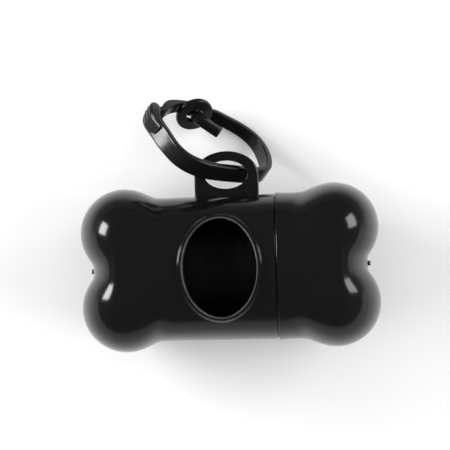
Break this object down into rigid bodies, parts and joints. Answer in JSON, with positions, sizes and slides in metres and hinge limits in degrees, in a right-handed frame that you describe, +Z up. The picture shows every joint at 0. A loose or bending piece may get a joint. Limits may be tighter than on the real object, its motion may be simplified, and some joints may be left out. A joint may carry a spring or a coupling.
{
  "type": "dog poop bag dispenser",
  "caption": "Bone-shaped plastic case for a roll of dog waste bags, with an oval dispensing opening, a screw-on end cap, a hanging tab and a one-piece loop clip.",
  "frame": {"origin": "under the middle of the whole object, on the surface that the case lies on", "axes": "+X along the bone towards the screw-on cap, +Y towards the hanging tab and clip, +Z up, out of the oval opening"},
  "size_m": [0.085, 0.0735, 0.0425],
  "materials": {
    "shell": "polished black moulding",
    "clip": "satin black moulding",
    "film": "thin black bag film, wound",
    "card": "grey card tube"
  },
  "bodies": {
    "case": {"main_shell": "shell"},
    "cap_slide": {"cap_gate_nub": "shell"},
    "cap": {"cap_shell": "shell"},
    "clip": {"clip_frame": "clip", "clip_hinge": "clip"},
    "gate": {"clip_gate": "clip", "clip_hook": "clip"},
    "roll": {"bag_roll": "film", "bag_core": "card"}
  },
  "joints": [
    {"name": "cap_travel", "type": "slide", "parent": "case", "child": "cap_slide", "axis": [1, 0, 0], "range_m": [0, 0.0121]},
    {"name": "cap_turn", "type": "hinge", "parent": "cap_slide", "child": "cap", "pos_m": [0.03, -0.01335, 0.02105], "axis": [1, 0, 0], "range_deg": [0, 360]},
    {"name": "roll_spin", "type": "hinge", "parent": "case", "child": "roll", "pos_m": [0, -0.01335, 0.0191], "axis": [1, 0, 0], "continuous": true},
    {"name": "clip_swing", "type": "hinge", "parent": "case", "child": "clip", "pos_m": [0.0015, 0.01325, 0.02165], "axis": [0, 1, 0], "range_deg": [0, 85]},
    {"name": "gate_open", "type": "hinge", "parent": "clip", "child": "gate", "pos_m": [-0.0196, 0.03195, 0.01712], "axis": [0.5189, 0.6651, 0.537], "range_deg": [0, 45], "stiffness_Nm_per_rad": 0.002, "deforming": ["clip_hinge", "clip_hook"]}
  ],
  "couplings": [
    {"joint": "cap_travel", "follows": "cap_turn", "m_per_rad": 0.0019099}
  ]
}
